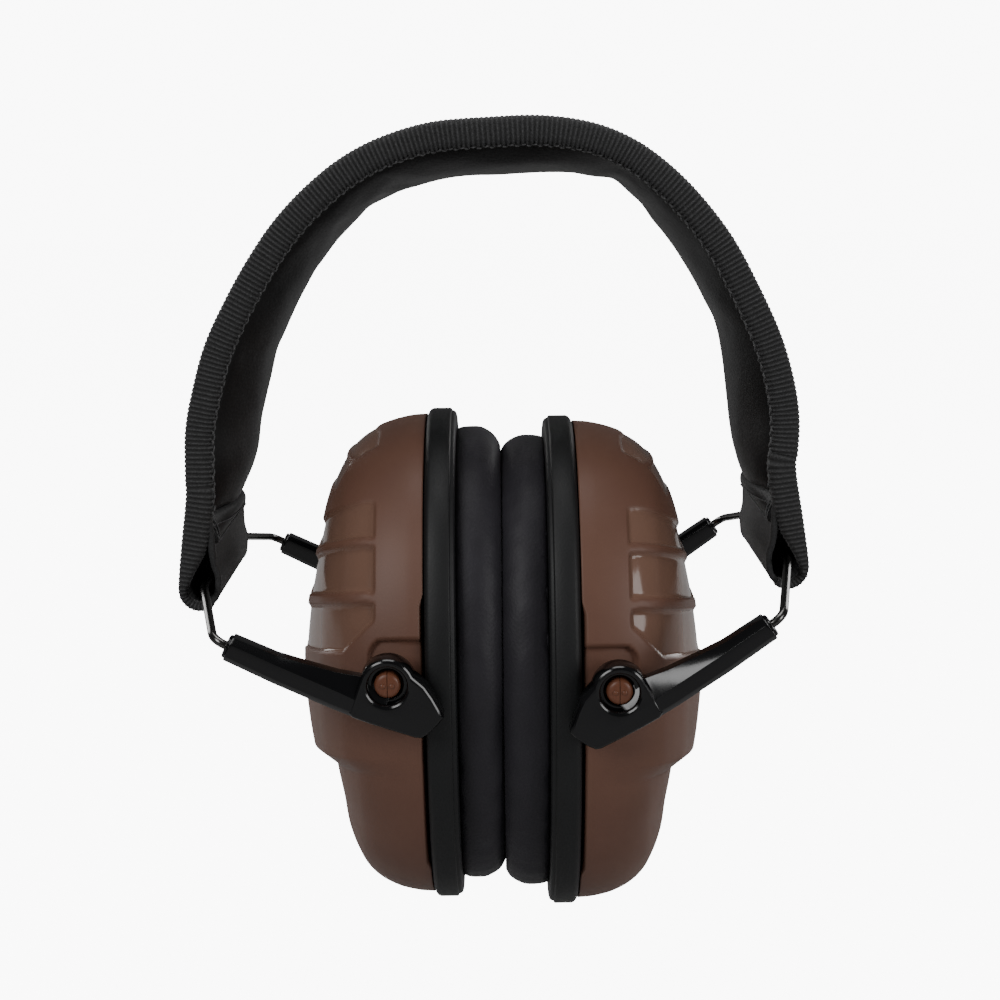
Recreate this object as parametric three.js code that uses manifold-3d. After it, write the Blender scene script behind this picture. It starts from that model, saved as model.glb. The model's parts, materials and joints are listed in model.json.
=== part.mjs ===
// Folding passive hearing-protection earmuffs: padded headband, two wire bails, four arms, two ear cups.
// Millimetres. +X to the wearer's left-right axis, -Y is the front, +Z up.
// The origin is on the inner face of the headband pad, under the crown, where a head carries it.
import * as THREE from 'three';
import { mergeVertices } from 'three/addons/utils/BufferGeometryUtils.js';
import Module from 'manifold-3d';

const wasm = await Module();
wasm.setup();

const deg = THREE.MathUtils.degToRad;

// Headband: half-width and height of the outer edge above the crown's inner face, from leg to crown.
// The soft arch leans a little, so its right shoulder is fuller than its left.
const CROWN_INNER = 70.9;
const LEFT_ARCH = [
  [62.9, 9], [62.4, 19.6], [60.5, 28.1], [57.6, 37.2], [52.9, 46.4], [47.7, 54.9],
  [42.3, 62.1], [36.0, 68.4], [28.7, 73.9], [20.6, 77.8], [11.0, 80.4],
];
const RIGHT_ARCH = [
  [62.5, 9], [62.9, 19.6], [61.6, 28.4], [58.7, 37.8], [54.2, 47.4], [49.3, 56.4],
  [43.8, 63.8], [37.4, 70.5], [29.8, 76.2], [21.3, 79.8], [11.0, 81.4],
];
const ARCH_TOP = 81.2;
const BAND_STEPS = 34;
const BAND_HALF = 21.1;
const EDGE_THICK = 4.8;
const MID_THICK = 10.2;
const COVER_WALL = 0.9;
const GAP = 0.3;
const RIBBON_THICK = 0.9;
const RIBBON_GAP = 0.2;
const STRIP_WIDTH = 28;
const STRIP_THICK = 1.0;
const STRIP_SLOT = 2.0;
const LEG_X = 63.2;

// Fabric end loops, which carry the wire bails.
const LOOP_X = 61.3;
const LOOP_OUT = 8.4;
const STRAP = 1.4;
const LOOP_HALF = 21.4;
const LOOP_ROOT = 1.6;
const SLOT_ROOT = 5.8;
const TAPE_THICK = 1.0;
const TAPE_HEIGHT = 2.4;
const TAPE_DROP = 3.0;

// Wire bail, in the frame of the arms: u runs up the arm from the pivot, v is square to it.
const WIRE_R = 0.9;
const BORE_R = 1.25;
const BORE_V = -6.85;
const BORE_START = 6.5;
const MOUTH_U = 31.4;
const LOOP_U = 41.4;
const LOOP_V = -4.65;
const BAIL_HALF = 23.6;
const WIRE_TO_BEND = 3.0;
const BEND_R = 2.6;
const ARM_Y = 45.5;
const ARM_THICK = 5.8;
const ARM_EDGE = 0.8;
const HUB_R = 5.4;

// Side outline of an arm, u and v as above: from the bar's mouth to the hub, then round the knuckle.
const BAR_TOP = [[MOUTH_U, -4.4], [22, -4.1], [16, -3.2], [10, -2.0], [5.6, 0.2]];
const KNUCKLE = [
  [-6.6, 3.4], [-10.2, 1.6], [-12.8, -0.4], [-11, -6.5], [0, -8.6], [8, -9.2], [20, -9.4], [MOUTH_U, -9.3],
];

// Ear cups, measured outward from the plane where the two cushions meet.
const MEET_X = 1.8;
const PIVOT_OUT = 22.7;
const CUSHION_THICK = 9.4;
const PLATE_THICK = 6.1;
const SHELL_DEPTH = 27.6;
const CUP_DROP = 7.7;
const PLATE_RADIUS = 55;
const PLATE_EDGE = 0.9;
const PLATE_OPENING = 35;
const CUSHION_OUTER = 50.5;
const CUSHION_INNER = 29;
const CUP_NARROW = 0.76;
const CUSHION_NARROW = 0.74;
const CUP_SEGMENTS = 32;
const PIN_R = 2.6;
const PIN_HOLE_R = 3.0;
const COLLAR_R = 4.4;
const SLIT_WIDTH = 0.7;
const HUB_RECESS_R = 3.75;
const HUB_RECESS_DEPTH = 1.0;

// Profiles of the cup's turned parts: radius, and depth outward from the rim plate's outer face.
const SHELL_RIM = 0.3;
const SHELL_OUTER = [
  [11, SHELL_DEPTH], [15, 26.4], [20, 25.4], [27, 23.7], [33, 21.9], [39.5, 19.8], [43.8, 17.9], [47.7, 15.0],
  [50.5, 11.6], [52.4, 7.4], [53.5, 3.4], [53.8, SHELL_RIM],
];
const CAVITY = [
  [14, 24.0], [27, 20.6], [37.6, 17.0], [44.2, 13.6], [47.6, 10.6], [49.9, 7.2], [51.2, 3.4], [51.5, SHELL_RIM],
];
const CAVITY_DEPTH = 25.2;
const FOAM_BASE = 3.1;
const FOAM_LINER = [
  [0, 22.6], [12, 22.4], [25, 19.9], [36.6, 16.2], [41.6, 12.8], [43.8, 10.8], [45.2, 8.0], [45.6, FOAM_BASE],
];
const CLOTH_RADIUS = 42;
const CLOTH_BASE = 2.0;
const CLOTH_TOP = 2.8;
const SNAP_RING = [
  [31.5, -PLATE_THICK - 0.1], [34.7, -PLATE_THICK - 0.1], [34.7, 0.4], [36.4, 0.4], [36.4, 1.6],
  [31.5, 1.6], [31.5, -PLATE_THICK - 0.1],
];

// Below the step the shell is shallower. Heights are above the plate's centre; the step slants over its run
// and rises by its tilt, in degrees, toward the front and the back.
const STEP_SCALE = 0.84;
const STEP_HIGH = -19.5;
const STEP_RUN = 3.0;
const STEP_TILT = 12;
const STEP_OVERLAP = 0.05;
const SHELL_WALL = 2.6;

// Snap pin: radius, and distance from the middle of the cup along the pivot axis.
const PIN_PROFILE = [
  [0, 35.4], [PIN_R, 35.4], [PIN_R, 40.7], [COLLAR_R, 40.7], [COLLAR_R, 42.3], [PIN_R, 42.3], [PIN_R, 47.4],
  [PIN_R - 0.5, 47.9], [0, 47.9],
];
const SLIT_MIDDLE = 46.5;

const SIDES = [
  { name: 'left', sign: -1, pivotZ: -27.0, slope: 26.6, loopBottom: -18.4, padEnd: 1.2 },
  { name: 'right', sign: 1, pivotZ: -29.0, slope: 35.5, loopBottom: -15.4, padEnd: 4.2 },
];

const material = (color, roughness, metalness = 0) =>
  new THREE.MeshStandardMaterial({ color, roughness, metalness });
const LEATHERETTE = material(0x1d1c1e, 0.5);
const FOAM = material(0x55565a, 0.95);
const CLOTH = material(0x2a2a2c, 0.95);
const RIBBON = material(0x141415, 0.8);
const SPRING = material(0x9a9c9f, 0.35, 1);
const WIRE = material(0x3a3a3c, 0.3, 1);
const BLACK_GLOSS = material(0x08080a, 0.22);
const BLACK_TEXTURED = material(0x232426, 0.6);
const BROWN = material(0x5c463c, 0.38);
const BROWN_PIN = material(0x784b32, 0.35);

// Turn a geometry's faces outward and drop everything but its positions.
function closed(geometry) {
  geometry.deleteAttribute('normal');
  geometry.deleteAttribute('uv');
  const merged = mergeVertices(geometry, 1e-4);
  const p = merged.attributes.position;
  const index = Array.from(merged.index.array);
  const kept = [];
  let volume = 0;
  for (let i = 0; i < index.length; i += 3) {
    const [a, b, c] = index.slice(i, i + 3);
    if (a === b || b === c || c === a) continue;
    kept.push(a, b, c);
    const va = new THREE.Vector3().fromBufferAttribute(p, a);
    const vb = new THREE.Vector3().fromBufferAttribute(p, b);
    const vc = new THREE.Vector3().fromBufferAttribute(p, c);
    volume += va.dot(vb.cross(vc)) / 6;
  }
  if (volume < 0) kept.reverse();
  merged.setIndex(kept);
  merged.computeVertexNormals();
  return merged;
}

function toSolid(geometry) {
  const g = closed(geometry);
  return new wasm.Manifold(new wasm.Mesh({
    numProp: 3,
    vertProperties: new Float32Array(g.attributes.position.array),
    triVerts: new Uint32Array(g.index.array),
  }));
}

function fromSolid(solid) {
  const m = solid.getMesh();
  const g = new THREE.BufferGeometry();
  g.setAttribute('position', new THREE.BufferAttribute(new Float32Array(m.vertProperties), 3));
  g.setIndex(new THREE.BufferAttribute(new Uint32Array(m.triVerts), 1));
  g.computeVertexNormals();
  return g;
}

function subtract(solid, tools) {
  return fromSolid(tools.reduce((rest, tool) => rest.subtract(toSolid(tool)), solid));
}

function part(name, geometry, look) {
  const mesh = new THREE.Mesh(geometry, look);
  mesh.name = name;
  return mesh;
}

// Sweep a closed section along a path that lies in the XZ plane.
// Section x runs across the band, section y runs from the path toward the inside of the arch.
function sweep(section, path, steps) {
  return closed(new THREE.ExtrudeGeometry(section, { steps, extrudePath: path, bevelEnabled: false }));
}

function vectors(points) {
  return points.map(([x, y]) => new THREE.Vector2(x, y));
}

function shapeOf(points) {
  return new THREE.Shape(vectors(points));
}

// The arch line, left leg first, trimmed at each side's pad end.
function archPath() {
  const [left, right] = SIDES;
  const points = [[-LEG_X, left.padEnd], ...LEFT_ARCH.map(([x, z]) => [-x, z]), [0, ARCH_TOP]];
  points.push(...RIGHT_ARCH.toReversed(), [LEG_X, right.padEnd]);
  const line = points.map(([x, z]) => new THREE.Vector3(x, 0, z));
  return new THREE.CatmullRomCurve3(line, false, 'centripetal');
}

// Pad section: flat outside, crowned toward the head. inset shrinks it evenly.
function padSection(inset, top) {
  const half = BAND_HALF - inset;
  const points = [[-half, top], [half, top]];
  const count = 8;
  for (let i = 0; i <= count; i++) {
    const w = half * (1 - (2 * i) / count);
    const t = w / BAND_HALF;
    points.push([w, EDGE_THICK + (MID_THICK - EDGE_THICK) * (1 - t * t) ** 0.85 - inset]);
  }
  return points;
}

function rectangle(x0, x1, y0, y1) {
  return [[x0, y0], [x1, y0], [x1, y1], [x0, y1]];
}

function headband() {
  const group = new THREE.Group();
  const path = archPath();
  const cover = shapeOf(padSection(0, 0));
  cover.holes.push(new THREE.Path(vectors(padSection(COVER_WALL, COVER_WALL))));
  const foamInset = COVER_WALL + GAP;
  const foam = shapeOf(padSection(foamInset, foamInset));
  const half = STRIP_WIDTH / 2;
  const slotEnd = STRIP_SLOT + STRIP_THICK + 2 * GAP;
  foam.holes.push(new THREE.Path(vectors(rectangle(-half - GAP, half + GAP, STRIP_SLOT, slotEnd))));
  const strip = rectangle(-half, half, STRIP_SLOT + GAP, slotEnd - GAP);
  group.add(part('headband_cover', sweep(cover, path, BAND_STEPS), LEATHERETTE));
  group.add(part('headband_foam', sweep(foam, path, BAND_STEPS), FOAM));
  group.add(part('headband_spring_strip', sweep(shapeOf(strip), path, BAND_STEPS), SPRING));
  const inner = BAND_HALF + RIBBON_GAP;
  const outer = inner + RIBBON_THICK;
  for (const [name, side] of [['front_edge_ribbon', 1], ['rear_edge_ribbon', -1]]) {
    const binding = rectangle(side * inner, side * outer, 0, EDGE_THICK);
    group.add(part(name, sweep(shapeOf(binding), path, BAND_STEPS), RIBBON));
  }
  return group;
}

// Shape in X and Z, run 2 * half along Y.
function extrudeAlongY(shape, half) {
  const g = new THREE.ExtrudeGeometry(shape, { depth: 2 * half, bevelEnabled: false, curveSegments: 8 });
  g.rotateX(Math.PI / 2);
  g.translate(0, half, 0);
  return g;
}

function stadium(target, x, bottom, top, r) {
  target.moveTo(x - r, top);
  target.lineTo(x - r, bottom + r);
  target.absarc(x, bottom + r, r, Math.PI, 2 * Math.PI, false);
  target.lineTo(x + r, top);
  target.lineTo(x - r, top);
  return target;
}

function endLoop(side) {
  const group = new THREE.Group();
  const x = side.sign * LOOP_X;
  const outline = stadium(new THREE.Shape(), x, side.loopBottom, side.padEnd - LOOP_ROOT, LOOP_OUT / 2);
  const slotBottom = side.loopBottom + STRAP;
  outline.holes.push(stadium(new THREE.Path(), x, slotBottom, side.padEnd - SLOT_ROOT, LOOP_OUT / 2 - STRAP));
  group.add(part(`${side.name}_end_loop`, closed(extrudeAlongY(outline, LOOP_HALF)), RIBBON));
  const tape = new THREE.BoxGeometry(TAPE_THICK, 2 * LOOP_HALF, TAPE_HEIGHT);
  const tapeX = LOOP_X - LOOP_OUT / 2 - GAP - TAPE_THICK / 2;
  tape.translate(side.sign * tapeX, 0, side.padEnd - TAPE_DROP);
  group.add(part(`${side.name}_end_tape`, closed(tape), RIBBON));
  return group;
}

// Points with rounded corners along a polyline.
function rounded(points, radius, steps) {
  const result = [points[0]];
  for (let i = 1; i < points.length - 1; i++) {
    const corner = points[i];
    const before = points[i - 1].clone().sub(corner).normalize().multiplyScalar(radius).add(corner);
    const after = points[i + 1].clone().sub(corner).normalize().multiplyScalar(radius).add(corner);
    const bend = new THREE.QuadraticBezierCurve3(before, corner, after);
    result.push(...bend.getPoints(steps));
  }
  result.push(points[points.length - 1]);
  return result;
}

function wireBail(side) {
  const half = [
    new THREE.Vector3(BORE_START + 1.5, -ARM_Y, BORE_V),
    new THREE.Vector3(MOUTH_U + WIRE_TO_BEND, -ARM_Y, BORE_V),
    new THREE.Vector3(LOOP_U, -BAIL_HALF, LOOP_V),
  ];
  const other = half.map((p) => new THREE.Vector3(p.x, -p.y, p.z)).reverse();
  const points = rounded([...half, ...other], BEND_R, 4);
  const path = new THREE.CurvePath();
  for (let i = 1; i < points.length; i++) path.add(new THREE.LineCurve3(points[i - 1], points[i]));
  const round = new THREE.Shape();
  round.absarc(0, 0, WIRE_R, 0, 2 * Math.PI, false);
  const wire = new THREE.ExtrudeGeometry(round, {
    steps: 56, curveSegments: 8, extrudePath: path, bevelEnabled: false,
  });
  return part(`${side.name}_wire_bail`, closed(wire), WIRE);
}

function cylinderY(radius, y0, y1, x, z, segments = 18) {
  const g = new THREE.CylinderGeometry(radius, radius, y1 - y0, segments);
  g.translate(x, (y0 + y1) / 2, z);
  return g;
}

// Plastic arm: a bar with the wire's blind bore, a round hub and a pointed knuckle.
function arm(name, face) {
  const outline = shapeOf([KNUCKLE.at(-1), ...BAR_TOP]);
  outline.absarc(0, 0, HUB_R, deg(10), deg(140), false);
  for (const [u, v] of KNUCKLE.slice(0, -1)) outline.lineTo(u, v);
  const body = new THREE.ExtrudeGeometry(outline, {
    depth: ARM_THICK - 2 * ARM_EDGE, bevelEnabled: true, bevelSize: ARM_EDGE, bevelOffset: -ARM_EDGE,
    bevelThickness: ARM_EDGE, bevelSegments: 1, curveSegments: 10,
  });
  body.rotateX(Math.PI / 2);
  body.translate(0, face * ARM_Y + ARM_THICK / 2 - ARM_EDGE, 0);
  const boreEnd = MOUTH_U + 2;
  const bore = new THREE.CylinderGeometry(BORE_R, BORE_R, boreEnd - BORE_START, 16);
  bore.rotateZ(Math.PI / 2);
  bore.translate((boreEnd + BORE_START) / 2, face * ARM_Y, BORE_V);
  const hole = cylinderY(PIN_HOLE_R, -ARM_THICK, ARM_THICK, 0, 0);
  hole.translate(0, face * ARM_Y, 0);
  const recess = cylinderY(HUB_RECESS_R, -HUB_RECESS_DEPTH, HUB_RECESS_DEPTH, 0, 0);
  recess.translate(0, face * (ARM_Y + ARM_THICK / 2), 0);
  return part(name, subtract(toSolid(body), [bore, hole, recess]), BLACK_GLOSS);
}

// Turn a profile of [radius, depth] about the cup's axis and narrow it front to back.
function turned(profile, narrow = CUP_NARROW) {
  const g = new THREE.LatheGeometry(vectors(profile), CUP_SEGMENTS);
  g.scale(narrow, 1, 1);
  g.rotateZ(-Math.PI / 2);
  return g;
}

// A turned form from its profile, closed on the axis at depth base, and set back below the step.
// rise lifts the step, which keeps the wall between two nested forms.
function stepped(profile, top, base, rise) {
  const full = toSolid(turned([[0, top], ...profile, [profile.at(-1)[0], base], [0, base]]));
  const reach = PLATE_RADIUS + SHELL_DEPTH;
  const high = STEP_HIGH + rise;
  const lowerSide = shapeOf([[base, -reach], [reach, -reach], [reach, high], [SHELL_DEPTH, high],
    [SHELL_DEPTH * STEP_SCALE, high - STEP_RUN], [base, high - STEP_RUN]]);
  const level = toSolid(extrudeAlongY(lowerSide, 2 * reach));
  const lower = level.rotate([STEP_TILT, 0, 0]).add(level.rotate([-STEP_TILT, 0, 0]));
  const shallow = full.scale([STEP_SCALE, 1, 1]).intersect(lower.translate([0, 0, STEP_OVERLAP]));
  return full.subtract(lower).add(shallow);
}

function cupShell(side) {
  const outside = stepped(SHELL_OUTER, SHELL_DEPTH, SHELL_RIM, 0);
  const cavity = stepped(CAVITY, CAVITY_DEPTH, SHELL_RIM - 1, SHELL_WALL);
  const holes = cylinderY(PIN_HOLE_R, -PLATE_RADIUS, PLATE_RADIUS, pivotDepth(), CUP_DROP);
  return part(`${side.name}_cup_shell`, subtract(outside.subtract(cavity), [holes]), BROWN);
}

// Depth of the pivot axis outside the rim plate's outer face.
function pivotDepth() {
  return PIVOT_OUT - CUSHION_THICK - PLATE_THICK;
}

// Flat ring profile from depth h0 to h1 with chamfered outer edges.
function ring(outer, inner, h0, h1, edge) {
  return [
    [inner, h0], [outer - edge, h0], [outer, h0 + edge], [outer, h1 - edge], [outer - edge, h1], [inner, h1],
    [inner, h0],
  ];
}

function cushionProfile() {
  const top = -PLATE_THICK - GAP;
  const face = -PLATE_THICK - CUSHION_THICK + GAP / 2;
  const shoulder = top - 1.6;
  const outerRound = 5.6;
  const innerRound = 5;
  const points = [[CUSHION_INNER + 3, top], [CUSHION_OUTER - 1.4, top], [CUSHION_OUTER, shoulder]];
  for (const a of [0, 22.5, 45, 67.5, 90].map(deg)) {
    points.push([CUSHION_OUTER - outerRound * (1 - Math.cos(a)), face + outerRound * (1 - Math.sin(a))]);
  }
  for (const a of [0, 30, 60, 90].map(deg)) {
    points.push([CUSHION_INNER + innerRound * (1 - Math.sin(a)), face + innerRound * (1 - Math.cos(a))]);
  }
  points.push([CUSHION_INNER, shoulder], [CUSHION_INNER + 3, top]);
  return points;
}

function cup(side) {
  const name = side.name;
  const group = new THREE.Group();
  const plate = ring(PLATE_RADIUS, PLATE_OPENING, -PLATE_THICK, 0, PLATE_EDGE);
  const cloth = [[0, CLOTH_BASE], [CLOTH_RADIUS, CLOTH_BASE], [CLOTH_RADIUS, CLOTH_TOP], [0, CLOTH_TOP]];
  const foam = stepped(FOAM_LINER.slice(1), FOAM_LINER[0][1], FOAM_BASE, SHELL_WALL + 2 * GAP);
  group.add(
    cupShell(side),
    part(`${name}_rim_plate`, closed(turned(plate)), BLACK_TEXTURED),
    part(`${name}_cushion_snap_ring`, closed(turned(SNAP_RING)), BLACK_TEXTURED),
    part(`${name}_ear_cushion`, closed(turned(cushionProfile(), CUSHION_NARROW)), LEATHERETTE),
    part(`${name}_liner_cloth`, closed(turned(cloth)), CLOTH),
    part(`${name}_foam_liner`, fromSolid(foam), FOAM),
  );
  return group;
}

// Brown snap pin: a shank through the shell wall, a spacer collar, and the split head in the arm's hub.
function pivotPin(name, face) {
  const g = new THREE.LatheGeometry(vectors(PIN_PROFILE), 18);
  const slit = new THREE.BoxGeometry(SLIT_WIDTH, 2 * PIN_R, 4 * PIN_R);
  slit.translate(0, SLIT_MIDDLE, 0);
  const body = subtract(toSolid(g), [slit]);
  if (face < 0) body.rotateX(Math.PI);
  return part(name, body, BROWN_PIN);
}

function earSide(side) {
  const group = new THREE.Group();
  group.position.set(MEET_X + side.sign * PIVOT_OUT, 0, side.pivotZ);
  if (side.sign < 0) group.rotation.z = Math.PI;
  const faces = side.sign > 0 ? [['front', -1], ['rear', 1]] : [['front', 1], ['rear', -1]];
  const arms = new THREE.Group();
  arms.rotation.y = -deg(side.slope);
  arms.add(wireBail(side));
  for (const [where, face] of faces) {
    arms.add(arm(`${side.name}_${where}_arm`, face));
    group.add(pivotPin(`${side.name}_${where}_pivot_pin`, face));
  }
  const cupGroup = cup(side);
  cupGroup.position.set(-pivotDepth(), 0, -CUP_DROP);
  group.add(arms, cupGroup);
  return group;
}

const earmuffs = new THREE.Group();
earmuffs.name = 'hearing_protection_earmuffs';
earmuffs.position.z = -CROWN_INNER;
earmuffs.add(headband());
for (const side of SIDES) {
  earmuffs.add(endLoop(side));
  earmuffs.add(earSide(side));
}

export default earmuffs;
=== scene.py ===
import json
import math

import bmesh
import bpy
import numpy as np
from mathutils import Matrix, Vector, noise


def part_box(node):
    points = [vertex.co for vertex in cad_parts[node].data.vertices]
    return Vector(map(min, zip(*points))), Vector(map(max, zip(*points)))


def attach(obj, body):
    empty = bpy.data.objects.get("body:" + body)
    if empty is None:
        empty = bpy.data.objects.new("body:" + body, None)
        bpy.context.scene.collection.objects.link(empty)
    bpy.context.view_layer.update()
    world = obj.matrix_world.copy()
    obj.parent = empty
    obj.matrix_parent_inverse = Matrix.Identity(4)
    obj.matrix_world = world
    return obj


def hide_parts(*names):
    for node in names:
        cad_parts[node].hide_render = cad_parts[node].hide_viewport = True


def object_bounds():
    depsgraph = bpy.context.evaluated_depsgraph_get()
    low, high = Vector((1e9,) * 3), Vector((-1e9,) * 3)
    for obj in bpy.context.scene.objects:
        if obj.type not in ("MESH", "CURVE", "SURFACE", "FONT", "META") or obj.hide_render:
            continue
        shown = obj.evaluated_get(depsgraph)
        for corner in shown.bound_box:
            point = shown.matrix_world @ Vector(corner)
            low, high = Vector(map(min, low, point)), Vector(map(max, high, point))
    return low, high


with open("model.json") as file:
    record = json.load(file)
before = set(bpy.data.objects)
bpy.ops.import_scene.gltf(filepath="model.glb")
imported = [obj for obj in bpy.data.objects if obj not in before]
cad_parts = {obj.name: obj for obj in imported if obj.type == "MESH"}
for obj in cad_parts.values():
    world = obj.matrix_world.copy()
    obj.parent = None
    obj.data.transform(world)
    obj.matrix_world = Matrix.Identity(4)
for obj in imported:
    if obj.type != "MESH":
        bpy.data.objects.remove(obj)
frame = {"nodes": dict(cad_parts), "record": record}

CAD_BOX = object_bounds()
MM = 0.001
SIDES = {"left": -1, "right": 1}
JOINTS = {j["name"]: j for j in frame["record"]["behaviour"]["joints"]}

# Camera of a product shot: lens in mm, distance and aim in metres, angles in degrees.
LENS = 60.7
DISTANCE = 0.370
ELEVATION = 11.5
ROLL = -0.8
LOOK_AT = Vector((0.0016, 0, -0.0709))

# Stage: strengths of the white world and floor, first as they light the object, then as they are seen.
WORLD_LIGHT = 0.10
WORLD_BACKDROP = 9.5
FLOOR_LIGHT = 0.02
FLOOR_GLOW = 9.3
# How far, in metres, the cups swing below their rest height when they are opened.
OPEN_DROP = 0.034

# Headband, in millimetres. The arches are half-width and height of the band's outer line, from leg to crown.
# Heights count from a level CROWN_INNER below the frame's zero, which is the crown's inner face.
CROWN_INNER = 70.9
LEFT_ARCH = [(62.9, 9), (62.4, 19.6), (60.5, 28.1), (57.6, 37.2), (52.9, 46.4), (47.7, 54.9),
             (42.3, 62.1), (36.0, 68.4), (28.7, 73.9), (20.6, 77.8), (11.0, 80.4)]
RIGHT_ARCH = [(62.5, 9), (62.9, 19.6), (61.6, 28.4), (58.7, 37.8), (54.2, 47.4), (49.3, 56.4),
              (43.8, 63.8), (37.4, 70.5), (29.8, 76.2), (21.3, 79.8), (11.0, 81.4)]
LEG_X = 63.2
ARCH_TOP = 81.2
PAD_HALF = 21.1
EDGE_THICK = 4.8
MID_THICK = 10.6
PAD_OVER_LOOP = 1.6
# Where the pad folds, as shares of the arch's length.
CREASES = (0.17, 0.31, 0.69, 0.83)
CREASE_DEPTH = 0.22
CREASE_WIDTH = 3.0
RIB_PITCH = 1.0
STITCH_PITCH = 1.25
# Loop strap: steps along it, points across a face, steps that are ribbed, width of the bound edge.
STRAP_STEPS = 300
STRAP_POINTS = 31
STRAP_RIBBED = 170
STRAP_EDGE = 1.6
FLAP_THICK = 0.75

# Cup, in millimetres, outward from the rim plate's outer face and up from the plate's centre.
# NARROW is the cup's width over its height.
NARROW = 0.76
CUSHION_NARROW = 0.74
LINER_R = 41.8
PIVOT_H = 7.2
PIVOT_UP = 7.7
PLATE_R = 55.0
PLATE_THICK = 6.1
CUSHION_THICK = 9.4
ARM_Y = 45.5
ARM_HALF = 2.9
ARM_END = 31.4
WIRE_R = 0.9
WIRE_BEND = 2.6
# Height of the wire's bore in the arm's frame.
WIRE_V = -6.85
SHELL_PROFILE = [(0, 28.3), (7, 28.2), (13.5, 27.4), (19, 26.5), (26, 25.0), (32, 23.5), (36, 22.4),
                 (39.5, 21.1), (43.8, 19.0), (47.5, 16.6), (50.3, 13.2), (52.3, 8.8),
                 (53.5, 4.1), (53.8, 0.4)]
# Relief of the shell: sag of its outer face, the lip's gap at the rim between two heights, the pivot pocket.
FACE_SAG = 1.2
LIP_GAP = 0.9
LIP_LOW, LIP_HIGH = -38, 22
POCKET_DEPTH = 1.5
POCKET_HALF = 2.9
POCKET_ROUND = 3.6
# Lower step: share of depth kept below it, slope toward the pivots, height at the middle, run, fuller corner.
STEP_SCALE = 0.84
STEP_TILT = 0.213
STEP_HIGH = -19.4
STEP_RUN = 3.2
STEP_CORNER = 0.9
# Polished windows: lowest and highest level of each row, where they start, their dip and their depth.
WINDOWS = [(33.5, 39.6), (23.3, 31.7), (11.5, 20.9)]
TOP_WINDOWS = [(39.4, 45.6), (46.8, 51.2)]
TOP_WINDOW_HALF = 12.0
WINDOW_START = 10.4
WINDOW_RIM = 50.9
WINDOW_DIP = 9.0
WINDOW_DEPTH = 0.8
WINDOW_SOFT = 0.7
# The lowest window's inner corner is cut off along this slope, at this distance.
WINDOW_CUT_SLOPE = 1.07
WINDOW_CUT = 6.85

# Cloth simulation of the padded pieces.
CLOTH_FRAMES = 20
CLOTH_PRESSURE = 4.0


# ------------------------------ materials

def new_material(name, color, roughness, metallic=0.0, **inputs):
    """A Principled material; the inputs are its sockets, with _ for a space."""
    mat = bpy.data.materials.new(name)
    mat.use_nodes = True
    shader = mat.node_tree.nodes["Principled BSDF"]
    shader.inputs["Base Color"].default_value = (*color, 1)
    shader.inputs["Roughness"].default_value = roughness
    shader.inputs["Metallic"].default_value = metallic
    for key, value in inputs.items():
        shader.inputs[key.replace("_", " ")].default_value = value
    return mat, mat.node_tree, shader


def texture(tree, kind, scale, **settings):
    """A procedural texture on object coordinates, in cycles per metre."""
    coords = tree.nodes.new("ShaderNodeTexCoord")
    node = tree.nodes.new(kind)
    tree.links.new(coords.outputs["Object"], node.inputs["Vector"])
    node.inputs["Scale"].default_value = scale
    for key, value in settings.items():
        node.inputs[key].default_value = value
    return node


def bump(tree, shader, heights, depths, strength):
    """Chain one bump per height output onto the shader's normal; depths are in metres."""
    previous = None
    for height, depth in zip(heights, depths):
        node = tree.nodes.new("ShaderNodeBump")
        node.inputs["Strength"].default_value = strength
        node.inputs["Distance"].default_value = depth
        tree.links.new(height, node.inputs["Height"])
        if previous is not None:
            tree.links.new(previous.outputs["Normal"], node.inputs["Normal"])
        previous = node
    tree.links.new(previous.outputs["Normal"], shader.inputs["Normal"])


def ramp(tree, source, stops):
    """A colour that runs between two stops of (position, colour)."""
    node = tree.nodes.new("ShaderNodeValToRGB")
    node.color_ramp.elements[0].position = stops[0][0]
    node.color_ramp.elements[1].position = stops[-1][0]
    node.color_ramp.elements[0].color = (*stops[0][1], 1)
    node.color_ramp.elements[1].color = (*stops[-1][1], 1)
    tree.links.new(source, node.inputs["Fac"])
    return node.outputs["Color"]


def gray_range(tree, source, low, high):
    """A value that runs from low to high as the source runs from 0 to 1."""
    node = tree.nodes.new("ShaderNodeMapRange")
    node.inputs["To Min"].default_value = low
    node.inputs["To Max"].default_value = high
    tree.links.new(source, node.inputs["Value"])
    return node.outputs["Result"]


def leatherette(name, dark, light, rough):
    """Grained synthetic leather: cells and pores in the bump, clouds in colour and roughness."""
    mat, tree, shader = new_material(name, dark, rough, Sheen_Weight=0.02, Sheen_Roughness=0.4)
    shader.inputs["Specular IOR Level"].default_value = 0.22
    grain = texture(tree, "ShaderNodeTexVoronoi", 1500)
    cloud = texture(tree, "ShaderNodeTexNoise", 60, Detail=4.0)
    pore = texture(tree, "ShaderNodeTexNoise", 2600, Detail=2.0)
    cloudy = cloud.outputs["Fac"]
    tree.links.new(ramp(tree, cloudy, [(0.3, dark), (0.75, light)]), shader.inputs["Base Color"])
    tree.links.new(gray_range(tree, cloudy, rough - 0.06, rough + 0.08), shader.inputs["Roughness"])
    bump(tree, shader, [grain.outputs["Distance"], pore.outputs["Fac"]], [0.00005, 0.00003], 0.6)
    return mat


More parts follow.
